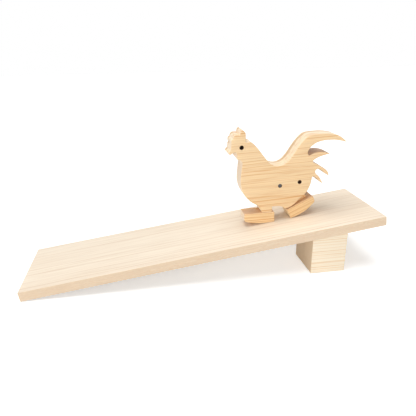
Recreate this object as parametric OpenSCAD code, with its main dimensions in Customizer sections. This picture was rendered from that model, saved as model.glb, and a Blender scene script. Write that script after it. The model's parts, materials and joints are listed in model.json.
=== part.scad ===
// A wooden rooster that walks down a sloping board by rocking between a fixed front foot and a swinging rear leg.
// X runs along the ramp towards its high end, Y across it away from the near edge, and Z up.
// The origin is at the middle of the footprint, on the surface that the toy stands on.

/* [Ramp] */
// Length of the ramp board along its slope
ramp_l = 400; // [370:1:450]
// Width of the ramp board
ramp_w = 100; // [80:1:130]
// Thickness of the ramp board
ramp_t = 11; // [8:0.5:15]
// Slope of the ramp board, in degrees
ramp_slope = 7.5; // [5:0.5:10]

/* [Block] */
// Length of the block along the ramp
block_l = 40; // [25:1:60]
// Depth of the block across the ramp
block_w = 48; // [30:1:75]
// Distance from the foot of the ramp's high end to the block
block_inset = 45; // [10:1:80]

/* [Rooster] */
// Length of the body from the beak's tip to the tail's tip
body_l = 136; // [125:1:150]
// Height of the body from its lowest corner to the comb's top
body_h = 100; // [92:1:110]
// Thickness of the body
body_t = 22; // [20:0.5:28]
// Diameter of the eye's hole
eye_d = 4.4; // [3:0.1:6]
// Radius of the body's underside about the pivot, over the rear foot
belly_r = 30; // [28.5:0.5:31.5]

/* [Place] */
// Distance of the pivot from the ramp's low end, along the ramp
walker_run = 295.5; // [270:0.5:310]
// Offset of the walker from the ramp's middle line
walker_side = 5.5; // [-15:0.5:15]

/* [Feet] */
// Thickness of both feet at their square ends
foot_t = 12; // [10.5:0.5:14]
// Width of the rear foot
foot_w = 24; // [20:0.5:32]
// Width of the front foot, whose near side is in line with the rear foot's
front_foot_w = 19; // [17:0.5:22]
// Rounding of the sole into the end that rises
foot_round = 3.5; // [2:0.5:4.5]
// Length of the front foot
front_foot_l = 36; // [33:0.2:42]
// Radius of the front foot's sole
front_sole_r = 72; // [66:1:84]
// Distance of the front sole's lowest point from its square end
front_low = 12.5; // [11:0.5:14]
// Angle that the front foot's toe is raised by, in degrees
toe_lift = 6.8; // [6:0.1:8]
// Length of the front foot behind the front leg
heel_over = 1.4; // [1:0.2:4]
// Length of the rear foot
rear_foot_l = 34; // [32:0.2:37]
// Radius of the rear foot's sole
rear_sole_r = 52; // [46:1:62]
// Distance of the rear sole's lowest point from its square end
rear_low = 10; // [8:0.5:12]
// Length of the rear foot in front of the pivot, when it lies flat
toe_over = 4; // [3:0.5:5]

/* [Rear leg] */
// Angle that the rear leg trails by, in degrees
leg_trail = 18; // [15:0.5:21]
// Thickness of the rear leg
leg_t = 8; // [6:0.5:9]
// Radius of the rear leg's top end
leg_r = 9; // [8:0.5:10]
// Width of the rear leg where it stands on its foot
leg_base = 26; // [23:0.5:27]
// Distance from the rear foot's square end to the rear leg
leg_back = 3; // [2:0.5:4]
// Length of the tenon that holds the rear leg in its foot
tenon_l = 6; // [4:0.5:7.5]
// Width of the shoulder on each side of the tenon
tenon_shoulder = 4; // [3:0.5:6]

/* [Pins] */
// Diameter of the pivot pin and of the stop pin
pin_d = 4.2; // [3:0.1:5]
// Distance of the stop pin behind the pivot
stop_back = 23.4; // [22.6:0.2:25]
// Depth of the stop pin's ends below the body's faces
stop_recess = 3; // [1.5:0.5:4]
// Diameter of the dowels in the front leg
dowel_d = 5; // [4:0.5:6]
// Length of the dowels in the front leg
dowel_l = 14; // [10:0.5:16]
// Distance between the two dowels
dowel_gap = 8; // [7:0.5:9.5]

/* [Fits] */
// Gap between glued faces
glue_gap = 0.02; // [0.01:0.01:0.05]
// Gap round a driven pin
drive_gap = 0.02; // [0.01:0.01:0.04]
// Gap round the pivot pin in the rear leg
run_gap = 0.08; // [0.05:0.01:0.1]
// Gap between each side of the rear leg and the slot
slot_side = 0.5; // [0.3:0.1:0.8]
// Gap between the leg's outline and the slot's walls
slot_room = 3; // [2.6:0.1:3.6]
// Gap between the rear foot's top and the body's underside
foot_gap = 1; // [0.6:0.1:1.5]
// Gap between the soles and the ramp
sole_gap = 0.2; // [0.1:0.05:0.3]
// Depth of the pivot pin's ends below the body's faces
pin_sunk = 0.2; // [0.1:0.1:0.6]
// Room left at the blind end of a hole
blind_room = 0.5; // [0.2:0.1:1]

/* [Hidden] */

// Length that cuts reach past a face
overrun = 1;
// Length of the slot past the pivot, which clears the underside and the rump
slot_reach = body_h / 2;
// Number of steps on each stretch of a curve between two points
curve_steps = 4;
// Number of steps on the underside's arc
arc_steps = 12;
// Number of steps on a foot's sole
sole_steps = 24;
// Number of steps on the rounding at a foot's end
round_steps = 6;
$fn = 96;

pale_wood = [0.96, 0.89, 0.77];
warm_wood = [0.93, 0.76, 0.54];
steel = [0.55, 0.55, 0.56];
dark_steel = [0.2, 0.18, 0.16];

// Middle of the ramp's extent along X, measured from the foot of its low end
mid_x = (ramp_l * cos(ramp_slope) - ramp_t * sin(ramp_slope)) / 2;
// Distance of the rear foot's top from the pivot
foot_top_r = belly_r + foot_gap;
// Height of the pivot above the ramp, where the rear foot's toe just clears it
hip_h = toe_over * sin(leg_trail) + (foot_top_r + foot_t) * cos(leg_trail) + sole_gap;

// Outline of the body, run by run between its sharp corners, from the comb's rear base round by the beak.
// Each point is a share of body_l behind the pivot and a share of body_h above it.
comb_rear_shares = [
    [-0.247, 0.568], [-0.243, 0.618], [-0.240, 0.656], [-0.246, 0.684],
    [-0.264, 0.706], [-0.279, 0.692], [-0.288, 0.661],
];
comb_middle_shares = [[-0.288, 0.661], [-0.303, 0.667], [-0.326, 0.668], [-0.341, 0.650], [-0.347, 0.630]];
comb_front_shares = [[-0.347, 0.630], [-0.359, 0.622], [-0.365, 0.604], [-0.366, 0.584], [-0.362, 0.571]];
beak_top_shares = [[-0.362, 0.571], [-0.371, 0.552], [-0.378, 0.513], [-0.392, 0.494], [-0.399, 0.482]];
beak_under_shares = [[-0.399, 0.482], [-0.394, 0.468], [-0.380, 0.463], [-0.366, 0.472]];
wattle_top_shares = [[-0.366, 0.472], [-0.350, 0.475], [-0.335, 0.472]];
wattle_shares = [[-0.335, 0.472], [-0.331, 0.445], [-0.334, 0.412], [-0.330, 0.393], [-0.312, 0.387]];
chest_shares = [
    [-0.312, 0.387], [-0.300, 0.367], [-0.296, 0.339], [-0.308, 0.273], [-0.324, 0.170],
    [-0.330, 0.104], [-0.324, 0.030], [-0.305, -0.045], [-0.272, -0.110], [-0.238, -0.157], [-0.205, -0.188],
];
front_leg_shares = [[-0.205, -0.188], [-0.196, -0.212], [-0.190, -0.240]];
belly_shares = [[-0.083, -0.235], [-0.045, -0.242], [-0.007, -0.254], [0.018, -0.273]];
rump_shares = [
    [0.203, -0.173], [0.231, -0.134], [0.252, -0.094], [0.268, -0.049], [0.279, -0.003],
    [0.285, 0.026], [0.292, 0.034], [0.300, 0.033],
];
feather_4_under_shares = [[0.300, 0.033], [0.317, 0.012], [0.348, -0.040], [0.372, -0.074]];
feather_4_over_shares = [[0.372, -0.074], [0.364, -0.036], [0.345, 0.019], [0.319, 0.062], [0.315, 0.093]];
feather_3_under_shares = [
    [0.315, 0.093], [0.329, 0.112], [0.348, 0.108], [0.373, 0.081], [0.404, 0.037], [0.430, 0.011],
];
feather_3_over_shares = [
    [0.430, 0.011], [0.425, 0.056], [0.402, 0.097], [0.374, 0.130], [0.340, 0.168], [0.307, 0.197], [0.299, 0.217],
];
feather_2_under_shares = [[0.299, 0.217], [0.325, 0.237], [0.360, 0.251], [0.404, 0.261], [0.449, 0.268]];
feather_2_over_shares = [
    [0.449, 0.268], [0.406, 0.295], [0.363, 0.309], [0.328, 0.309], [0.293, 0.298], [0.269, 0.289],
];
feather_1_under_shares = [
    [0.269, 0.289], [0.261, 0.323], [0.272, 0.356], [0.295, 0.389], [0.340, 0.419],
    [0.384, 0.428], [0.435, 0.427], [0.496, 0.414], [0.550, 0.392], [0.600, 0.366],
];
back_shares = [
    [0.600, 0.366], [0.566, 0.420], [0.540, 0.449], [0.506, 0.474], [0.438, 0.501], [0.386, 0.511],
    [0.335, 0.517], [0.297, 0.518], [0.270, 0.509], [0.240, 0.484], [0.196, 0.431], [0.158, 0.373],
    [0.120, 0.313], [0.080, 0.264], [0.045, 0.242], [0.010, 0.236], [-0.020, 0.244], [-0.052, 0.268],
    [-0.083, 0.313], [-0.134, 0.430], [-0.152, 0.472], [-0.180, 0.527], [-0.200, 0.553],
    [-0.222, 0.564], [-0.247, 0.568],
];
// Place of the eye, in the same shares
eye_share = [-0.287, 0.519];
// Place of the front leg's rear edge at the foot, as a share of body_l behind the pivot
leg_rear_share = -0.090;
// Place of the front leg's front edge at the foot, in the same share
leg_front_share = -0.176;
// Directions from the pivot where the underside's arc starts and ends, in degrees
arc_start = -79.5;
arc_end = -42.6;

// One point of a smooth curve between b and c, with a and d as the points beside them
function blend(a, b, c, d, u) =
    0.5 * (2 * b + (c - a) * u + (2 * a - 5 * b + 4 * c - d) * u * u + (3 * b - a - 3 * c + d) * u * u * u);
// Points of a smooth curve through every point of a run but its last one
function smooth(run) = [
    for (i = [0:len(run) - 2])
        for (k = [0:curve_steps - 1])
            blend(run[max(i - 1, 0)], run[i], run[i + 1], run[min(i + 2, len(run) - 1)], k / curve_steps)
];
// The point at a distance r from the pivot in the direction a
function ray(r, a) = r * [cos(a), sin(a)];
// A share of the body's outline as a place from the pivot
function placed(share) = [share[0] * body_l, share[1] * body_h];
// A run of shares as a smooth curve, or with its last point where the next piece starts elsewhere
function run_of(shares) = smooth([for (share = shares) placed(share)]);
function whole_run(shares) = concat(run_of(shares), [placed(shares[len(shares) - 1])]);

// How far the front sole reaches below its square end, with the toe raised
sole_dip = front_sole_r * (1 - cos(max(0, asin(front_low / front_sole_r) - toe_lift)));
// Lower corner of the front foot's square end
heel_x = leg_rear_share * body_l + heel_over;
heel_z = sole_gap + sole_dip - hip_h;
// Height of the front foot's top above the pivot, at a distance x behind it
function front_top(x) = heel_z + foot_t / cos(toe_lift) + (heel_x - x) * tan(toe_lift);
function leg_corner(share) = [share * body_l, front_top(share * body_l) + glue_gap];

body_outline = concat(
    run_of(comb_rear_shares), run_of(comb_middle_shares), run_of(comb_front_shares),
    run_of(beak_top_shares), run_of(beak_under_shares), run_of(wattle_top_shares), run_of(wattle_shares),
    run_of(chest_shares), whole_run(front_leg_shares),
    [leg_corner(leg_front_share), leg_corner(leg_rear_share)],
    whole_run(belly_shares),
    [
        for (i = [0:arc_steps])
            let (a = arc_start + (arc_end - arc_start) * i / arc_steps)
            ray(belly_r, a),
    ],
    run_of(rump_shares), run_of(feather_4_under_shares), run_of(feather_4_over_shares),
    run_of(feather_3_under_shares), run_of(feather_3_over_shares), run_of(feather_2_under_shares),
    run_of(feather_2_over_shares), run_of(feather_1_under_shares), run_of(back_shares)
);

// Outline of a foot from its square end, with a rocking sole that rises to the rounding at the far end
function foot_outline(l, sole_r, low) =
    let (
        sole_centre = [low, sqrt(sole_r * sole_r - low * low)],
        round_x = l - foot_round,
        round_reach = sole_r - foot_round,
        round_z = sole_centre[1] - sqrt(round_reach * round_reach - (round_x - low) * (round_x - low)),
        start_a = atan2(-sole_centre[1], -low),
        end_a = atan2(round_z - sole_centre[1], round_x - low)
    )
    concat(
        [[0, foot_t]],
        [for (i = [0:sole_steps]) sole_centre + ray(sole_r, start_a + (end_a - start_a) * i / sole_steps)],
        [for (i = [1:round_steps]) [round_x, round_z] + ray(foot_round, end_a * (1 - i / round_steps))],
        [[l, foot_t]]
    );

// Corners of the rear leg on its foot, and the directions of its two edges, with the leg upright
leg_toe = [leg_back - toe_over, -foot_top_r];
leg_heel = [leg_back - toe_over + leg_base, -foot_top_r];
toe_edge_a = atan2(leg_toe[1], leg_toe[0]) + asin(leg_r / norm(leg_toe));
heel_edge_a = atan2(leg_heel[1], leg_heel[0]) - asin(leg_r / norm(leg_heel));
// Direction of the leg's rear edge where it meets the stop pin
stop_edge_a = -asin((leg_r + pin_d / 2) / stop_back);
// Angle that the leg swings back by until it meets the stop pin
back_swing = stop_edge_a - heel_edge_a - leg_trail;
// Angle that the leg swings forward by until the feet meet, which it reaches with the walker off the ramp
front_swing = atan2(-heel_x, -front_top(heel_x)) + leg_trail - atan2(toe_over, foot_top_r);

module on_ramp() {
    translate([-mid_x, 0, 0]) rotate([0, -ramp_slope, 0]) children();
}

module at_pivot() {
    on_ramp() translate([walker_run, walker_side, ramp_t + hip_h]) children();
}

module at_leg() {
    at_pivot() rotate([0, -leg_trail, 0]) children();
}

module at_heel() {
    at_pivot() translate([heel_x, 0, heel_z]) rotate([0, toe_lift, 0]) children();
}

// A flat shape drawn in X and Z, spread evenly across Y
module plate(thickness) {
    rotate([90, 0, 0]) linear_extrude(thickness, center = true) children();
}

// A round bar across Y
module cross_bar(d, l) {
    rotate([90, 0, 0]) cylinder(h = l, d = d, center = true);
}

// Side view of the rear leg, with straight edges that leave its round end as tangents
module leg_side() {
    circle(r = leg_r);
    polygon([
        ray(leg_r, toe_edge_a - 90), leg_toe + [0, glue_gap],
        leg_heel + [0, glue_gap], ray(leg_r, heel_edge_a + 90),
    ]);
}

// Side view of the slot that the rear leg swings in, open past the body's underside and rump
module slot_side_view() {
    r = leg_r + slot_room;
    front_a = toe_edge_a + leg_trail - front_swing;
    rear_a = heel_edge_a + leg_trail + back_swing;
    front = ray(r, front_a - 90);
    rear = ray(r, rear_a + 90);
    circle(r = r);
    polygon([
        front, front + ray(slot_reach, front_a), ray(sqrt(2) * slot_reach, arc_end),
        rear + ray(slot_reach, rear_a), rear,
    ]);
}

module ramp_board() {
    color(pale_wood) on_ramp() translate([0, -ramp_w / 2, 0]) cube([ramp_l, ramp_w, ramp_t]);
}

module prop_block() {
    outer = ramp_l * cos(ramp_slope) - block_inset;
    inner = outer - block_l;
    color(pale_wood)
        translate([-mid_x, (block_w - ramp_w) / 2, 0])
            plate(block_w)
                polygon([
                    [inner, 0], [outer, 0],
                    [outer, outer * tan(ramp_slope) - glue_gap], [inner, inner * tan(ramp_slope) - glue_gap],
                ]);
}

module rooster_body() {
    color(warm_wood)
        difference() {
            at_pivot()
                difference() {
                    plate(body_t) polygon(body_outline);
                    plate(leg_t + 2 * slot_side) slot_side_view();
                    cross_bar(pin_d + 2 * drive_gap, body_t + 2 * overrun);
                    translate([stop_back, 0, 0]) cross_bar(pin_d + 2 * drive_gap, body_t + 2 * overrun);
                    translate([placed(eye_share)[0], 0, placed(eye_share)[1]])
                        cross_bar(eye_d, body_t + 2 * overrun);
                }
            dowel_holes();
        }
}

// Middle of the front leg, measured from the front foot's square end along its top
dowel_x = (heel_x - (leg_front_share + leg_rear_share) / 2 * body_l) / cos(toe_lift);
// Middle of the width that the front leg and its foot share, measured from the body's middle
dowel_y = (front_foot_w - foot_w / 2 - body_t / 2) / 2;

module dowels(d, l) {
    at_heel()
        for (side = [-1, 1])
            translate([-dowel_x, dowel_y + side * dowel_gap / 2, foot_t]) cylinder(h = l, d = d, center = true);
}

module dowel_holes() {
    dowels(dowel_d + 2 * glue_gap, dowel_l + 2 * blind_room);
}

module front_foot() {
    color(warm_wood)
        difference() {
            at_heel()
                translate([0, (front_foot_w - foot_w) / 2, 0])
                    mirror([1, 0, 0])
                        plate(front_foot_w) polygon(foot_outline(front_foot_l, front_sole_r, front_low));
            dowel_holes();
        }
}

module front_foot_dowels() {
    color(warm_wood) dowels(dowel_d, dowel_l);
}

module rear_leg() {
    color(warm_wood)
        at_leg()
            difference() {
                union() {
                    plate(leg_t) leg_side();
                    tenon(0, tenon_l);
                }
                cross_bar(pin_d + 2 * run_gap, leg_t + 2 * overrun);
            }
}

// The tenon under the rear leg, grown by a gap on every side for the mortise
module tenon(gap, l) {
    plate(leg_t + 2 * gap)
        translate([leg_toe[0] + tenon_shoulder - gap, -foot_top_r - l])
            square([leg_base - 2 * tenon_shoulder + 2 * gap, l + overrun]);
}

module rear_foot() {
    color(warm_wood)
        at_leg()
            difference() {
                translate([-toe_over, 0, -foot_top_r - foot_t])
                    plate(foot_w) polygon(foot_outline(rear_foot_l, rear_sole_r, rear_low));
                tenon(glue_gap, tenon_l + blind_room);
            }
}

module pivot_pin() {
    color(steel) at_pivot() cross_bar(pin_d, body_t - 2 * pin_sunk);
}

module stop_pin() {
    color(dark_steel) at_pivot() translate([stop_back, 0, 0]) cross_bar(pin_d, body_t - 2 * stop_recess);
}

ramp_board();
prop_block();
rooster_body();
front_foot();
front_foot_dowels();
rear_leg();
rear_foot();
pivot_pin();
stop_pin();
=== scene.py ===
"""A ramp walker toy: a flat wooden rooster on a sloping board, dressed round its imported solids.
Lengths are in metres."""
import json
import math

import bpy
import numpy as np
from mathutils import Matrix, Vector
from mathutils.geometry import tessellate_polygon


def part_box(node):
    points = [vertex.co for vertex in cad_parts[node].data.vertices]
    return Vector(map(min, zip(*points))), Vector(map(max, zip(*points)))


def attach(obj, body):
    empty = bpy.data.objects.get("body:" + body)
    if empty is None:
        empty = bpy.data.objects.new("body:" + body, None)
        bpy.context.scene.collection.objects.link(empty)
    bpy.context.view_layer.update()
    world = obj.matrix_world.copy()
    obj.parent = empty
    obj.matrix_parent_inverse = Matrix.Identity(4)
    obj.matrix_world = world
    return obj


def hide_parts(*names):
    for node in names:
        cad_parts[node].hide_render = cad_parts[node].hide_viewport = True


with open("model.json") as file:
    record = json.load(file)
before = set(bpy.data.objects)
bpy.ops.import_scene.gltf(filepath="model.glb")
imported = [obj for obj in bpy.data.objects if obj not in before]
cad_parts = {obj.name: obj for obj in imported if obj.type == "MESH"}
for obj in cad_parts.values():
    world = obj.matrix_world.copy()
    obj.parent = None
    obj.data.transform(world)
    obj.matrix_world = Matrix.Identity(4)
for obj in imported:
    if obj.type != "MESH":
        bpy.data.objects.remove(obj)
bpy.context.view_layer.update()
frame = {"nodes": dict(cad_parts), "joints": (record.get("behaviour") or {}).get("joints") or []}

# Camera, from the board's edges in the photograph
CAMERA_PLACE = Vector((-0.0633, -0.44124, 0.24035))
CAMERA_YAW = math.radians(8.906)
CAMERA_PITCH = math.radians(21.027)
CAMERA_ROLL = math.radians(-0.906)
CAMERA_LENS_MM = 36.24
SENSOR_MM = 36.0

# Slopes of the pieces' own grain above the horizontal, and the ways that their broad faces look
RAMP_SLOPE = math.radians(7.5)
ROOSTER_SLOPE = math.radians(2.4)
FRONT_FOOT_SLOPE = math.radians(0.7)
REAR_FOOT_SLOPE = math.radians(25.5)
RAMP_TOP = (-math.sin(RAMP_SLOPE), 0.0, math.cos(RAMP_SLOPE))
FLAT_SIDE = (0.0, 1.0, 0.0)

# The slot that the rear leg swings in: its round end about the pivot, the ways of its front and
# rear walls and of its far corner between them, how far it runs, and its gap beside the leg
SLOT_RADIUS = 0.012
SLOT_FRONT = math.radians(-80.0)
SLOT_REAR = math.radians(-20.8)
SLOT_MIDDLE = math.radians(-35.1)
SLOT_REACH = 0.05
SLOT_SIDE = 0.0005

# How far each kind of edge is rounded over
BODY_EDGE = 0.0009
FOOT_EDGE = 0.0008
LEG_EDGE = 0.0005
BOARD_EDGE = 0.0009
HOLE_EDGE = 0.00025
PIN_EDGE = 0.00035

# An outline's corners: how far each is eased, and from which turn on
CORNER_REACH = 0.001
CORNER_TURN = math.radians(24)

# The most of a short side or a narrow place that easing and rounding take, and the least cosine of
# a mitre
NARROW_SHARE = 0.5
LEAST_MITRE = 0.5

# Points round each kind of curve, the gap below which corners are one, and the turn from which an
# edge is sharp
CORNER_STEPS = 5
EDGE_STEPS = 5
PIN_SIDES = 48
SLOT_STEPS = 32
SNAP = 1e-5
SMOOTH_TURN = math.radians(32)

# Patterns: repeats per metre along X, Y and Z (X is along the grain of a planed wood), levels of
# detail, and roughness. Then the middle of their values and the span that shows
SWAY = ((8, 26, 26), 2, 0.5)
SHIVER = ((20, 300, 300), 3, 0.5)
PATCH = ((8, 26, 26), 1, 0.5)
STREAK = ((17, 480, 480), 3, 0.6)
FIBRE = ((36, 1500, 1500), 4, 0.65)
FLECK = ((45, 160, 160), 3, 0.5)
DRILL_MARKS = ((180, 2400, 180), 2, 0.5)
TURNING_MARKS = ((900, 2600, 900), 3, 0.5)
STAIN = ((420, 420, 420), 2, 0.5)
PATTERN_MIDDLE = 0.5
PATTERN_SPAN = (0.3, 0.7)

# Growth rings: how far they sway and shiver, how often the years' width changes and by how much,
# the parts of a year in which the tone rises and falls, and the power that makes most years pale
SWAY_REACH = 0.0075
SHIVER_REACH = 0.0006
UNEVEN_REPEATS = 0.31
UNEVEN_YEARS = 1.6
SUMMER = (0.1, 0.9)
SUMMER_SHARE = 0.25
AUTUMN = (0.5, 0.8)
AUTUMN_SHARE = 0.75
YEAR_END = (0.86, 1.0)
PALE_YEARS = 2.2

# The bundle of rings on a side: its lines' gap, its sway and its fading edge as shares of its half
# width, the parts of a line in which the tone rises and falls, and the line's palest share
SIDE_RING_GAP = 0.0017
BUNDLE_SWAY = 1.6
BUNDLE_EDGE = (0.5, 1.2)
LINE_RISE = (0.1, 0.7)
LINE_FALL = (0.85, 1.0)
LINE_PALEST = 0.4

# The painted shade under the tail: the share of its reach up to which it is full
TAIL_SHADE_CORE = 0.5

# The cosine to the broad face's way at which a surface passes from side to face, and to the grain
# at which it passes from side to cut end, and how far each takes its own tone
OFF_FACE = (0.35, 0.9)
CUT_END = (0.78, 0.97)
SIDE_SHARE = 0.7
END_SHARE = 0.78

# The spans of the patterns' values that show in the planed woods, how far each carries the tone, and
# how it changes the rings or the shade
PATCH_SPAN = (0.4, 0.7)
PATCH_SHARE = 0.14
STREAK_SPAN = (0.5, 0.75)
FLECK_SPAN = (0.5, 0.7)
FLECK_SHARE = 0.4
RING_BY_STREAK = (0.7, 1.25)
PALE_SPAN = (0.25, 0.5)
PALE_GAIN = 0.12
FIBRE_SHADE = (0.96, 1.03)

# The planed woods' finish: its roughness when raw, what full polish takes off it, how far it goes
# either way, its shine, the coat of full polish, and the rings' height beside the fibres'
RAW_ROUGHNESS = 0.64
POLISH_GAIN = 0.12
WOOD_ROUGHNESS_SPREAD = (-0.05, 0.07)
WOOD_SHINE = 0.3
COAT_SHARE = 0.15
COAT_ROUGHNESS = 0.4
RING_HEIGHT = 0.5

# The hole walls' tones, dark as painted shade, and their roughness. Steel's stains: the span that
# shows and their shade.
# How far steel's roughness goes either way
HOLE_SHADE_TONES = ((84, 54, 36), (46, 28, 20))
HOLE_WALL_ROUGHNESS = (0.75, 0.9)
STAIN_SPAN = (0.35, 0.7)
STAIN_SHADE = 0.82
STEEL_ROUGHNESS_SPREAD = (-0.05, 0.08)

# Fine reliefs: their strength and their depth
WOOD_RELIEF = (0.35, 0.00012)
HOLE_WALL_RELIEF = (0.3, 0.0001)
STEEL_RELIEF = (0.25, 0.00004)

# The Mix node's sockets for colours
MIX_FIRST = 6
MIX_SECOND = 7
MIX_RESULT = 2

# The floor's reach, grey and glow, and the light that the world gives
FLOOR_REACH = 4.0
FLOOR_GREY = 0.86
FLOOR_GLOW = 0.42
WORLD_TONE = (1, 0.99, 0.98, 1)
WORLD_STRENGTH = 0.2


def unit(vectors):
    """Each row scaled to length 1."""
    return vectors / np.linalg.norm(vectors, axis=-1, keepdims=True)


def ray(length, angle):
    """A vector in X and Z of a length in the direction of an angle above +X."""
    return length * np.stack([np.cos(angle), np.sin(angle)], axis=-1)


def merged(node):
    """A node's corners and triangles, with the corners that share a place made one."""
    mesh = frame["nodes"][node].data
    mesh.calc_loop_triangles()
    corners = np.zeros(len(mesh.vertices) * 3)
    mesh.vertices.foreach_get("co", corners)
    corners = corners.reshape(-1, 3)
    faces = np.zeros(len(mesh.loop_triangles) * 3, np.int32)
    mesh.loop_triangles.foreach_get("vertices", faces)
    snapped = np.round(corners / SNAP)
    _, first, place = np.unique(snapped, axis=0, return_index=True, return_inverse=True)
    return corners[first], place.reshape(-1)[faces].reshape(-1, 3)


def walk(following, start):
    """The closed chain from start. Each pass doubles it, by adding what follows the whole chain so
    far."""
    chain = np.array([start])
    jump = following
    while not (chain[1:] == start).any():
        chain = np.concatenate([chain, jump[chain]])
        jump = jump[jump]
    return chain[: 1 + np.argmax(chain[1:] == start)]


def area(loop):
    """The signed area of a loop, half the sum of the cross products of its neighbouring points."""
    after = np.roll(loop, -1, axis=0)
    return 0.5 * float(np.sum(loop[:, 0] * after[:, 1] - loop[:, 1] * after[:, 0]))


def face_outlines(node, y):
    """The outlines in X and Z of a node's flat face at y, which are the edges that only one
    triangle has. The outer one comes first and runs counter-clockwise, and its holes run
    clockwise."""
    corners, faces = merged(node)
    flat = faces[np.abs(corners[faces, 1] - y).max(axis=1) < SNAP]
    starts = flat.ravel().astype(np.int64)
    ends = np.roll(flat, -1, axis=1).ravel().astype(np.int64)
    alone = ~np.isin(starts * len(corners) + ends, ends * len(corners) + starts)
    following = np.zeros(len(corners), np.int64)
    following[starts[alone]] = ends[alone]
    left = starts[alone]
    loops = []
    while left.size:
        chain = walk(following, left[0])
        loops.append(corners[chain][:, [0, 2]])
        left = np.setdiff1d(left, chain)
    loops.sort(key=lambda loop: -abs(area(loop)))
    return [loop if (area(loop) > 0) == (loop is loops[0]) else loop[::-1] for loop in loops]


def eased(loop, reach):
    """A loop whose sharp corners are short parabolas, each of which leaves and meets its edges at
    reach from the corner: the corner, plus the way back times the square of what is left of the
    curve, plus the way ahead times the square of what is done."""
    back = np.roll(loop, 1, axis=0) - loop
    ahead = np.roll(loop, -1, axis=0) - loop
    back_l = np.linalg.norm(back, axis=1)
    ahead_l = np.linalg.norm(ahead, axis=1)
    turn = math.pi - np.arccos(np.clip(np.sum(unit(back) * unit(ahead), axis=1), -1, 1))
    sharp = turn > CORNER_TURN
    most = NARROW_SHARE / 2 * np.minimum(back_l, ahead_l)
    short = np.minimum(reach, most)[sharp, None, None]
    share = np.linspace(0, 1, CORNER_STEPS)[None, :, None]
    enter = unit(back)[sharp, None, :] * short * (1 - share) ** 2
    leave = unit(ahead)[sharp, None, :] * short * share**2
    arcs = loop[sharp, None, :] + enter + leave
    places = np.arange(len(loop))
    along_arcs = places[sharp, None] + share[0, :, 0] / 2
    order = np.argsort(np.concatenate([places[~sharp], along_arcs.ravel()]))
    return np.concatenate([loop[~sharp], arcs.reshape(-1, 2)])[order]


def inset(loop, depth):
    """Each point's way into the solid, as long as its mitre, and how far its edge is rounded. The
    rounding is depth, or a share of the shape's half width at the point where that is less. The
    half width is the radius of the circle that touches the loop at the point and passes through
    another point of it, the least of them all: the distance squared over twice the distance
    inward."""
    side = unit(np.roll(loop, -1, axis=0) - loop)[:, ::-1] * [-1, 1]
    inward = unit(side + np.roll(side, 1, axis=0))
    mitre = 1 / np.maximum(np.sum(inward * side, axis=1), LEAST_MITRE)
    gaps = loop[None, :, :] - loop[:, None, :]
    towards = np.einsum("ijk,ik->ij", gaps, inward)
    squares = np.sum(gaps**2, axis=2)
    radii = np.where(towards > SNAP**2, squares / np.maximum(2 * towards, SNAP**2), np.inf)
    rounding = np.minimum(depth, NARROW_SHARE * radii.min(axis=1))
    return inward * mitre[:, None], rounding


def rim_rows(loop, low, high, depth):
    """A loop carried across the thickness as rows of points, with a quarter circle at both faces:
    at each turn a row lies its rounding times 1 less the sine inside the loop, and times 1 less the
    cosine off the face."""
    way, rounding = inset(loop, depth)
    turn = np.linspace(0, math.pi / 2, EDGE_STEPS)
    inside = np.concatenate([1 - np.sin(turn), 1 - np.sin(turn[::-1])])[:, None] * rounding
    sunk = (1 - np.cos(turn))[:, None] * rounding
    across = np.concatenate([low + sunk, high - sunk[::-1]])
    places = loop[None, :, :] + way[None, :, :] * inside[:, :, None]
    return np.stack([places[:, :, 0], across, places[:, :, 1]], axis=2)


def grid_faces(here):
    """Quads between neighbouring rows of a grid of point numbers that closes along its columns,
    facing right of the loop's way."""
    beside = np.roll(here, -1, axis=1)
    return np.stack([here[:-1], here[1:], beside[1:], beside[:-1]], axis=-1).reshape(-1, 4)


def cap_faces(loops, numbers):
    """Triangles that fill an outer loop but for its holes, counter-clockwise in X and Z, by the
    numbers of the loops' points in the mesh."""
    flat = np.concatenate(loops)
    outlines = [[Vector((x, z, 0)) for x, z in loop] for loop in loops]
    triangles = np.array(tessellate_polygon(outlines))
    a, b, c = flat[triangles[:, 0]], flat[triangles[:, 1]], flat[triangles[:, 2]]
    wrong = (b - a)[:, 0] * (c - a)[:, 1] - (b - a)[:, 1] * (c - a)[:, 0] < 0
    triangles[wrong] = triangles[wrong][:, ::-1]
    return np.concatenate(numbers)[triangles]


def new_piece(name, points, faces):
    """A mesh object at the origin from arrays of points and faces, smooth but for its sharp
    edges."""
    mesh = bpy.data.meshes.new(name)
    mesh.from_pydata(points.tolist(), [], [face.tolist() for face in faces])
    mesh.validate()
    mesh.shade_smooth()
    mesh.set_sharp_from_angle(angle=SMOOTH_TURN)
    piece = bpy.data.objects.new(name, mesh)
    bpy.context.scene.collection.objects.link(piece)
    return piece


def sawn(name, outlines, low, high, depth):
    """A flat piece sawn to its outlines, between low and high in Y, with its edges rounded over.
    The walls of its holes have the second material, which paints their shade."""
    points = []
    rim_ends = []
    faces = []
    low_rims = []
    high_rims = []
    count = 0
    for place, loop in enumerate(outlines):
        rows = rim_rows(loop, low, high, HOLE_EDGE if place else depth)
        size = rows.shape[:2]
        numbers = count + np.arange(math.prod(size)).reshape(size)
        points.append(rows.reshape(-1, 3))
        faces.extend(grid_faces(numbers))
        rim_ends.append(len(faces))
        low_rims.append((rows[0][:, [0, 2]], numbers[0]))
        high_rims.append((rows[-1][:, [0, 2]], numbers[-1]))
        count += numbers.size
    faces.extend(cap_faces(*zip(*low_rims)))
    faces.extend(cap_faces(*zip(*high_rims))[:, ::-1])
    piece = new_piece(name, np.concatenate(points), faces)
    places = np.arange(len(faces))
    in_hole = (places >= rim_ends[0]) & (places < rim_ends[-1])
    piece.data.polygons.foreach_set("material_index", in_hole.astype(np.int32))
    return piece


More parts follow.
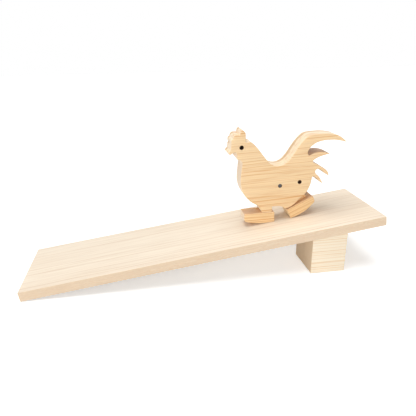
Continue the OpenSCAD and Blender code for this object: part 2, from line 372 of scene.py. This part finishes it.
def cut(piece, cutter):
    """Takes a cutter's space out of a piece and removes the cutter."""
    modifier = piece.modifiers.new("cut", "BOOLEAN")
    modifier.operation = "DIFFERENCE"
    modifier.solver = "EXACT"
    modifier.object = cutter
    seen = bpy.context.evaluated_depsgraph_get()
    mesh = bpy.data.meshes.new_from_object(piece.evaluated_get(seen))
    piece.modifiers.remove(modifier)
    piece.data = mesh
    mesh.set_sharp_from_angle(angle=SMOOTH_TURN)
    bpy.data.objects.remove(cutter)


def wooden_piece(node, depth):
    """A node's piece, sawn to the outlines of its flat side, with its corners eased and its edges
    rounded over."""
    low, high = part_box(node)
    outer, *holes = face_outlines(node, low.y)
    return sawn(node + "_wood", [eased(outer, CORNER_REACH), *holes], low.y, high.y, depth)


def turned_pin(node):
    """A round pin across Y: a circle carried along its length, drawn in at both ends by a quarter
    circle."""
    low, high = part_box(node)
    centre = np.array([(low.x + high.x) / 2, (low.z + high.z) / 2])
    turns = np.linspace(0, 2 * math.pi, PIN_SIDES, endpoint=False)
    loop = centre + ray((high.x - low.x) / 2, turns)
    return sawn(node + "_metal", [loop], low.y, high.y, PIN_EDGE)


def slot_cutter(pivot):
    """The slot's side view, a half round about the pivot between two straight walls, as thick as
    the leg and its gaps. The walls run out to a far corner below the body."""
    leg_low, leg_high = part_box("rear_leg")
    centre = np.array([pivot.x, pivot.z])
    turns = np.linspace(SLOT_REAR + math.pi / 2, SLOT_FRONT + math.pi * 3 / 2, SLOT_STEPS)
    round_end = ray(SLOT_RADIUS, turns)
    corners = [
        round_end[-1] + ray(SLOT_REACH, SLOT_FRONT),
        ray(math.sqrt(2) * SLOT_REACH, SLOT_MIDDLE),
        round_end[0] + ray(SLOT_REACH, SLOT_REAR),
    ]
    loop = centre + np.concatenate([round_end, corners])
    return sawn("slot_cutter", [loop], leg_low.y - SLOT_SIDE, leg_high.y + SLOT_SIDE, 0)


def linear(colour):
    """A screen colour from 0 to 255 as the light that it stands for, with alpha 1. By the standard
    screen curve this is the 2.4th power of the share plus 0.055 over 1.055, and near black the
    share over 12.92."""
    share = np.array(colour) / 255
    light = np.where(share <= 0.04045, share / 12.92, ((share + 0.055) / 1.055) ** 2.4)
    return (*light.tolist(), 1.0)


class Recipe:
    """A material's nodes, added one by one."""

    def __init__(self, name):
        self.material = bpy.data.materials.new(name)
        self.material.use_nodes = True
        self.tree = self.material.node_tree
        self.shader = self.tree.nodes["Principled BSDF"]

    def add(self, kind, inputs, output=0, **settings):
        """A node of a kind with its settings and inputs. Returns one of its outputs."""
        node = self.tree.nodes.new(kind)
        for name, value in settings.items():
            setattr(node, name, value)
        for name, value in inputs.items():
            self.feed(node.inputs[name], value)
        return node.outputs[output]

    def feed(self, socket, value):
        """Gives a socket a value or another node's output."""
        if isinstance(value, bpy.types.NodeSocket):
            self.tree.links.new(value, socket)
        else:
            socket.default_value = value

    def paint(self, **values):
        """Gives the shader's sockets their values. An underscore in a name stands for a space."""
        for name, value in values.items():
            self.feed(self.shader.inputs[name.replace("_", " ")], value)

    def relief(self, height, strength, depth):
        """Gives the surface a fine relief, of a strength and a depth, from a pattern's height."""
        sizes = {"Height": height, "Strength": strength, "Distance": depth}
        self.paint(Normal=self.add("ShaderNodeBump", sizes))

    def place(self):
        """Each point's place on the piece."""
        return self.add("ShaderNodeTexCoord", {}, output="Object")

    def dot(self, a, b):
        """The dot product of two vectors."""
        vectors = {0: a, 1: b}
        return self.add("ShaderNodeVectorMath", vectors, output="Value", operation="DOT_PRODUCT")

    def maths(self, operation, a, b=0.0):
        """A Math node."""
        return self.add("ShaderNodeMath", {0: a, 1: b}, operation=operation)

    def ranged(self, value, low, high, to_low=0.0, to_high=1.0, smooth=False):
        """A value moved from one range to another and held inside it."""
        ends = {"From Min": low, "From Max": high, "To Min": to_low, "To Max": to_high}
        curve = "SMOOTHSTEP" if smooth else "LINEAR"
        return self.add("ShaderNodeMapRange", {"Value": value, **ends}, interpolation_type=curve)

    def mixed(self, share, a, b, blend="MIX"):
        """Two colours mixed by a share."""
        node = self.tree.nodes.new("ShaderNodeMix")
        node.data_type = "RGBA"
        node.blend_type = blend
        self.feed(node.inputs["Factor"], share)
        self.feed(node.inputs[MIX_FIRST], a)
        self.feed(node.inputs[MIX_SECOND], b)
        return node.outputs[MIX_RESULT]


def log_place(r, slope, pith, seed):
    """The place in the log, with X along the grain, and Y and Z from the pith. The seed moves it
    along the log."""
    along = r.add(
        "ShaderNodeMapping", {"Vector": r.place(), "Rotation": (0, slope, 0)}, vector_type="POINT"
    )
    return r.add("ShaderNodeMapping", {"Vector": along, "Location": (seed, -pith[0], -pith[1])})


def pattern(r, place, kind):
    """A Noise texture of a kind: its repeats, its detail and its roughness."""
    repeats, detail, roughness = kind
    stretched = r.add("ShaderNodeMapping", {"Vector": place, "Scale": repeats})
    sizes = {"Vector": stretched, "Scale": 1.0, "Detail": detail, "Roughness": roughness}
    return r.add("ShaderNodeTexNoise", sizes)


def swayed(r, value, reach):
    """A pattern's value less its middle, times a reach."""
    return r.maths("MULTIPLY", r.maths("SUBTRACT", value, PATTERN_MIDDLE), reach)


def growth_rings(r, place, ring_gap, ring_share, wave):
    """How far each place is into a year's late wood. The years are the wavy distance from the pith
    over the gap, and the season is what is left of them without their whole part. The tone rises
    slowly through the year and falls at once at its end, to a depth that differs from year to
    year."""
    parts = r.tree.nodes.new("ShaderNodeSeparateXYZ")
    r.feed(parts.inputs[0], place)
    _, y, z = parts.outputs
    sway = swayed(r, pattern(r, place, SWAY), wave * SWAY_REACH)
    shiver = swayed(r, pattern(r, place, SHIVER), wave * SHIVER_REACH)
    squares = r.maths("ADD", r.maths("MULTIPLY", y, y), r.maths("MULTIPLY", z, z))
    radius = r.maths("ADD", r.maths("SQRT", squares), r.maths("ADD", sway, shiver))
    years = r.maths("DIVIDE", radius, ring_gap)
    widths = {"W": years, "Scale": UNEVEN_REPEATS, "Detail": 1.0}
    uneven = r.add("ShaderNodeTexNoise", widths, noise_dimensions="1D")
    years = r.maths("ADD", years, r.maths("MULTIPLY", uneven, UNEVEN_YEARS))
    season = r.maths("FRACT", years)
    summer = r.maths("MULTIPLY", r.ranged(season, *SUMMER, smooth=True), SUMMER_SHARE)
    autumn = r.maths("MULTIPLY", r.ranged(season, *AUTUMN, smooth=True), AUTUMN_SHARE)
    rise = r.maths("ADD", summer, autumn)
    fall = r.ranged(season, *YEAR_END, 1.0, 0.0, smooth=True)
    year = r.maths("FLOOR", years)
    dark_year = r.add("ShaderNodeTexWhiteNoise", {"W": year}, noise_dimensions="1D")
    depth = r.ranged(r.maths("POWER", dark_year, PALE_YEARS), 0.0, 1.0, *ring_share)
    return r.maths("MULTIPLY", r.maths("MULTIPLY", rise, fall), depth)


def side_rings(r, fleck, face, depth, half):
    """How far each place is into a bundle of rings that lies along the broad face, at a depth and
    half a width. The bundle fades out by the wavy distance from its depth, and fine lines at even
    gaps run in it."""
    height = r.dot(r.place(), face)
    off = r.maths("ADD", r.maths("SUBTRACT", height, depth), swayed(r, fleck, BUNDLE_SWAY * half))
    inner, outer = BUNDLE_EDGE
    bundle = r.ranged(r.maths("ABSOLUTE", off), inner * half, outer * half, 1.0, 0.0, smooth=True)
    season = r.maths("FRACT", r.maths("DIVIDE", off, SIDE_RING_GAP))
    rise = r.ranged(season, *LINE_RISE, LINE_PALEST, 1.0)
    fall = r.ranged(season, *LINE_FALL, 1.0, LINE_PALEST)
    return r.maths("MULTIPLY", bundle, r.maths("MULTIPLY", rise, fall))


def tail_shaded(r, tone, share, painted_tail_shade):
    """A tone mixed by a share towards a brown that paints the shade under the tail: fully near a
    place, and not at all past its reach."""
    centre, reach, shade_brown = painted_tail_shade
    ends = {0: r.place(), 1: centre}
    away = r.add("ShaderNodeVectorMath", ends, output="Value", operation="DISTANCE")
    shade_share = r.ranged(away, TAIL_SHADE_CORE * reach, reach, 1.0, 0.0, smooth=True)
    return r.mixed(r.maths("MULTIPLY", share, shade_share), tone, linear(shade_brown))


def planed_wood(
    name, slope, face, *, pith, seed, ring_gap, ring_share, wave, streak_share,
    early, late, side, end, bundle, polish, painted_tail_shade=None,
):
    """Planed softwood, as layers of tone. Its early wood is darkened towards its late wood by growth
    rings round the pith, each year by a share between the two of ring_share, and by patches and
    streaks along the grain. Off its broad face come the side's tone, flecks, a bundle of rings
    (depth, half width, tone) and, where given, a painted shade under the tail (place, reach, brown).
    Its cut ends have their own tone, and fine fibres shade it all. Wave is how far the rings sway,
    and polish goes from 0 to 1."""
    r = Recipe(name)
    place = log_place(r, slope, pith, seed)
    facing = r.add("ShaderNodeTexCoord", {}, output="Normal")
    off_face = r.ranged(r.maths("ABSOLUTE", r.dot(facing, face)), *OFF_FACE, 1.0, 0.0, smooth=True)
    grain_way = (math.cos(slope), 0.0, math.sin(slope))
    across = r.maths("ABSOLUTE", r.dot(facing, grain_way))
    open_end = r.ranged(across, *CUT_END, 0.0, END_SHARE, smooth=True)

    streak = pattern(r, place, STREAK)
    fibre = pattern(r, place, FIBRE)
    patch = pattern(r, place, PATCH)
    fleck = pattern(r, place, FLECK)
    ring = growth_rings(r, place, ring_gap, ring_share, wave)
    ring = r.maths("MULTIPLY", ring, r.ranged(streak, *PATTERN_SPAN, *RING_BY_STREAK))
    late_tone = linear(late)
    tone = r.mixed(ring, linear(early), late_tone)
    tone = r.mixed(r.ranged(patch, *PATCH_SPAN, 0.0, PATCH_SHARE), tone, late_tone)
    tone = r.mixed(r.ranged(streak, *STREAK_SPAN, 0.0, streak_share), tone, late_tone)

    # The side's tone off the face, which carries painted sheen on the rooster and painted shade on
    # the feet
    tone = r.mixed(r.maths("MULTIPLY", off_face, SIDE_SHARE), tone, linear(side))
    flecks = r.maths("MULTIPLY", off_face, r.ranged(fleck, *FLECK_SPAN, 0.0, FLECK_SHARE))
    tone = r.mixed(flecks, tone, late_tone)
    depth, half, ring_tone = bundle
    side_ring = r.maths("MULTIPLY", off_face, side_rings(r, fleck, face, depth, half))
    tone = r.mixed(side_ring, tone, linear(ring_tone))
    # Painted shade under the tail: the sides darkened to brown round a place below it
    if painted_tail_shade:
        tone = tail_shaded(r, tone, off_face, painted_tail_shade)
    tone = r.mixed(open_end, tone, linear(end))

    pale = r.ranged(streak, *PALE_SPAN, 1.0 + PALE_GAIN * streak_share, 1.0)
    shade = r.maths("MULTIPLY", pale, r.ranged(fibre, *PATTERN_SPAN, *FIBRE_SHADE))
    shade_colour = r.add("ShaderNodeCombineColor", {0: shade, 1: shade, 2: shade})
    rough = RAW_ROUGHNESS - POLISH_GAIN * polish
    smoothest, roughest = [rough + spread for spread in WOOD_ROUGHNESS_SPREAD]
    r.paint(
        Base_Color=r.mixed(1.0, tone, shade_colour, blend="MULTIPLY"),
        Roughness=r.ranged(fibre, *PATTERN_SPAN, smoothest, roughest),
        Specular_IOR_Level=WOOD_SHINE,
        Coat_Weight=COAT_SHARE * polish,
        Coat_Roughness=COAT_ROUGHNESS,
    )
    r.relief(r.maths("ADD", fibre, r.maths("MULTIPLY", ring, RING_HEIGHT)), *WOOD_RELIEF)
    return r.material


def hole_shade_wood():
    """The wall of a drilled hole, painted dark brown to black as the shade inside it, with rings of
    tool marks along its length."""
    r = Recipe("hole_shade_wood")
    marks = pattern(r, r.place(), DRILL_MARKS)
    shade_brown, shade_black = [linear(tone) for tone in HOLE_SHADE_TONES]
    r.paint(
        Base_Color=r.mixed(r.ranged(marks, *PATTERN_SPAN), shade_brown, shade_black),
        Roughness=r.ranged(marks, *PATTERN_SPAN, *HOLE_WALL_ROUGHNESS),
    )
    r.relief(marks, *HOLE_WALL_RELIEF)
    return r.material


def drawn_steel(name, grey, roughness):
    """Steel with fine turning marks in rings about the pin's own line and slight stains."""
    r = Recipe(name)
    place = r.place()
    marks = pattern(r, place, TURNING_MARKS)
    stain = r.ranged(pattern(r, place, STAIN), *STAIN_SPAN)
    stained = linear([value * STAIN_SHADE for value in grey])
    smoothest, roughest = [roughness + spread for spread in STEEL_ROUGHNESS_SPREAD]
    r.paint(
        Base_Color=r.mixed(stain, linear(grey), stained),
        Metallic=1.0,
        Roughness=r.ranged(marks, *PATTERN_SPAN, smoothest, roughest),
    )
    r.relief(marks, *STEEL_RELIEF)
    return r.material


def show(piece, body, slot, node, *materials):
    """Gives a piece its materials and its body, and hides the node that it stands for. Its slot is
    not used.
    """
    for material in materials:
        piece.data.materials.append(material)
    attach(piece, body)
    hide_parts(node)


def dress_ramp():
    """The sloping board and its block."""
    board_wood = planed_wood(
        "board_wood", RAMP_SLOPE, RAMP_TOP,
        pith=(0.16, 0.004), seed=0.37, ring_gap=0.0056, ring_share=(0.05, 0.7),
        wave=0.9, streak_share=0.3,
        early=(246, 232, 212), late=(212, 182, 150), side=(244, 224, 197), end=(228, 202, 168),
        bundle=(0.0315, 0.0080, (234, 207, 176)), polish=0.1,
    )
    block_wood = planed_wood(
        "block_wood", 0.0, FLAT_SIDE,
        pith=(-0.05, -0.117), seed=0.11, ring_gap=0.0029, ring_share=(0.25, 0.95),
        wave=0.12, streak_share=0.1,
        early=(253, 239, 216), late=(226, 180, 108), side=(226, 196, 158), end=(230, 204, 172),
        bundle=(-0.026, 0.004, (206, 176, 142)), polish=0.1,
    )
    show(wooden_piece("ramp_board", BOARD_EDGE), "ramp", "ramp_wood", "ramp_board", board_wood)
    show(wooden_piece("prop_block", BOARD_EDGE), "ramp", "block_wood", "prop_block", block_wood)


def dress_rooster(pivot):
    """The body with its slot, its drilled holes and its tail's notches, both painted darker as
    shade, the fixed front foot, whose wood its hidden dowels share, and the two pins."""
    rooster_wood = planed_wood(
        "rooster_wood", ROOSTER_SLOPE, FLAT_SIDE,
        pith=(0.012, -0.21), seed=0.83, ring_gap=0.0024, ring_share=(0.1, 1.0),
        wave=1.0, streak_share=0.5,
        # Its side tone is partly the sawn edges' own paler tone and partly painted sheen for its lit
        # tops
        early=(250, 222, 178), late=(216, 150, 78), side=(251, 234, 206), end=(244, 223, 196),
        bundle=(0.0114, 0.0032, (206, 162, 108)), polish=1.0,
        # A brown round the notches below the tail, painted as the shade that the tail casts there
        painted_tail_shade=((0.130, 0.0055, 0.116), 0.029, (202, 168, 136)),
    )
    foot_wood = planed_wood(
        "front_foot_wood", FRONT_FOOT_SLOPE, FLAT_SIDE,
        pith=(0.004, -0.14), seed=0.52, ring_gap=0.0031, ring_share=(0.35, 1.0),
        wave=0.4, streak_share=0.35,
        # Its side tone is darkened as painted shade, for the foot's top under the chest
        early=(249, 217, 168), late=(212, 144, 74), side=(218, 180, 148), end=(252, 232, 206),
        bundle=(0.0112, 0.0032, (236, 184, 100)), polish=1.0,
    )
    body = wooden_piece("rooster_body", BODY_EDGE)
    cut(body, slot_cutter(pivot))
    # The body's second material paints the shade on its holes' walls
    show(body, "walker", "rooster_wood", "rooster_body", rooster_wood, hole_shade_wood())
    show(wooden_piece("front_foot", FOOT_EDGE), "walker", "foot_wood", "front_foot", foot_wood)
    dowel_woods = frame["nodes"]["front_foot_dowels"].data.materials
    dowel_woods.clear()
    dowel_woods.append(foot_wood)
    pin_steel = drawn_steel("pivot_steel", grey=(92, 91, 92), roughness=0.42)
    stop_steel = drawn_steel("stop_steel", grey=(84, 60, 46), roughness=0.5)
    show(turned_pin("pivot_pin"), "walker", "pin_steel", "pivot_pin", pin_steel)
    show(turned_pin("stop_pin"), "walker", "stop_steel", "stop_pin", stop_steel)


def dress_leg():
    """The swinging rear leg, whose grain runs along it, and its foot."""
    leg_wood = planed_wood(
        "leg_wood", REAR_FOOT_SLOPE + math.pi / 2, FLAT_SIDE,
        pith=(0.0, -0.16), seed=0.29, ring_gap=0.0034, ring_share=(0.15, 0.7),
        wave=1.0, streak_share=0.3,
        early=(242, 205, 152), late=(214, 150, 86), side=(238, 204, 160), end=(226, 190, 150),
        bundle=(0.0055, 0.0020, (204, 158, 102)), polish=0.8,
    )
    foot_wood = planed_wood(
        "rear_foot_wood", REAR_FOOT_SLOPE, FLAT_SIDE,
        pith=(0.008, -0.12), seed=0.66, ring_gap=0.0032, ring_share=(0.35, 1.0),
        wave=0.7, streak_share=0.4,
        # Its side tone is darkened as painted shade for its top under the belly, and its end tone
        # lifted as painted light on its shaded toe end
        early=(249, 216, 164), late=(206, 136, 70), side=(222, 184, 146), end=(255, 232, 190),
        bundle=(0.0140, 0.0024, (196, 146, 90)), polish=1.0,
    )
    show(wooden_piece("rear_leg", LEG_EDGE), "leg", "leg_wood", "rear_leg", leg_wood)
    show(wooden_piece("rear_foot", FOOT_EDGE), "leg", "foot_wood", "rear_foot", foot_wood)


def seen_white(tree, dim, bright):
    """Shows the bright shader to the camera, straight, mirrored or through glass, and the dim one
    to all else."""
    path = tree.nodes.new("ShaderNodeLightPath")
    seen = path.outputs["Is Camera Ray"]
    for kind in ("Is Glossy Ray", "Is Transmission Ray"):
        either = tree.nodes.new("ShaderNodeMath")
        either.operation = "MAXIMUM"
        tree.links.new(seen, either.inputs[0])
        tree.links.new(path.outputs[kind], either.inputs[1])
        seen = either.outputs[0]
    mix = tree.nodes.new("ShaderNodeMixShader")
    tree.links.new(seen, mix.inputs[0])
    tree.links.new(dim, mix.inputs[1])
    tree.links.new(bright, mix.inputs[2])
    return mix.outputs[0]


def lay_floor():
    """A wide white floor that keeps soft shadows, a little lifted towards white where the camera
    sees it."""
    mesh = bpy.data.meshes.new("floor")
    signs = ((-1, -1), (1, -1), (1, 1), (-1, 1))
    corners = [(FLOOR_REACH * x, FLOOR_REACH * y, 0) for x, y in signs]
    mesh.from_pydata(corners, [], [(0, 1, 2, 3)])
    floor = bpy.data.objects.new("floor", mesh)
    bpy.context.scene.collection.objects.link(floor)
    material = bpy.data.materials.new("floor_white")
    material.use_nodes = True
    tree = material.node_tree
    tree.nodes.remove(tree.nodes["Principled BSDF"])
    matte = tree.nodes.new("ShaderNodeBsdfDiffuse")
    matte.inputs["Color"].default_value = (FLOOR_GREY, FLOOR_GREY, FLOOR_GREY, 1)
    glow = tree.nodes.new("ShaderNodeEmission")
    glow.inputs["Strength"].default_value = FLOOR_GLOW
    lifted = tree.nodes.new("ShaderNodeAddShader")
    tree.links.new(matte.outputs[0], lifted.inputs[0])
    tree.links.new(glow.outputs[0], lifted.inputs[1])
    shown = seen_white(tree, matte.outputs[0], lifted.outputs[0])
    tree.links.new(shown, tree.nodes["Material Output"].inputs["Surface"])
    mesh.materials.append(material)


def light_studio():
    """A white world that lights faintly, a soft lamp overhead, another low in front, and faint ones
    at the left and behind."""
    world = bpy.data.worlds.new("studio")
    bpy.context.scene.world = world
    world.use_nodes = True
    tree = world.node_tree
    dim = tree.nodes["Background"]
    dim.inputs["Color"].default_value = WORLD_TONE
    dim.inputs["Strength"].default_value = WORLD_STRENGTH
    white = tree.nodes.new("ShaderNodeBackground")
    white.inputs["Color"].default_value = (1, 1, 1, 1)
    white.inputs["Strength"].default_value = 1.0
    shown = seen_white(tree, dim.outputs[0], white.outputs[0])
    tree.links.new(shown, tree.nodes["World Output"].inputs["Surface"])
    place_sun("top_lamp", from_way=Vector((-0.14, -0.02, 1.0)), strength=1.92, spread=42)
    place_sun("front_lamp", from_way=Vector((-0.3, -1.0, 0.18)), strength=1.7, spread=60)
    place_sun("side_lamp", from_way=Vector((-1.0, -0.1, 0.25)), strength=0.62, spread=60)
    place_sun("back_lamp", from_way=Vector((0.4, 1.0, 0.3)), strength=0.35, spread=60)


def place_sun(name, from_way, strength, spread):
    """A soft sun that shines from a direction, with the size of its disc in degrees."""
    lamp = bpy.data.lights.new(name, "SUN")
    lamp.energy = strength
    lamp.angle = math.radians(spread)
    holder = bpy.data.objects.new(name, lamp)
    holder.rotation_euler = from_way.to_track_quat("Z", "Y").to_euler()
    bpy.context.scene.collection.objects.link(holder)


def place_camera():
    """The photograph's view: turned towards +X by its yaw, tipped down by its pitch, rolled about
    its own line."""
    camera = bpy.data.cameras.new("camera")
    camera.lens = CAMERA_LENS_MM
    camera.sensor_width = SENSOR_MM
    holder = bpy.data.objects.new("camera", camera)
    turn = Matrix.Rotation(-CAMERA_YAW, 4, "Z")
    tip = Matrix.Rotation(math.pi / 2 - CAMERA_PITCH, 4, "X")
    roll = Matrix.Rotation(CAMERA_ROLL, 4, "Z")
    holder.matrix_world = Matrix.Translation(CAMERA_PLACE) @ turn @ tip @ roll
    bpy.context.scene.collection.objects.link(holder)
    bpy.context.scene.camera = holder


bpy.context.scene.view_settings.view_transform = "Standard"
hinge = next(joint for joint in frame["joints"] if joint["name"] == "leg_swing")
place_camera()
light_studio()
lay_floor()
dress_ramp()
dress_rooster(Vector(hinge["pos_m"]))
dress_leg()
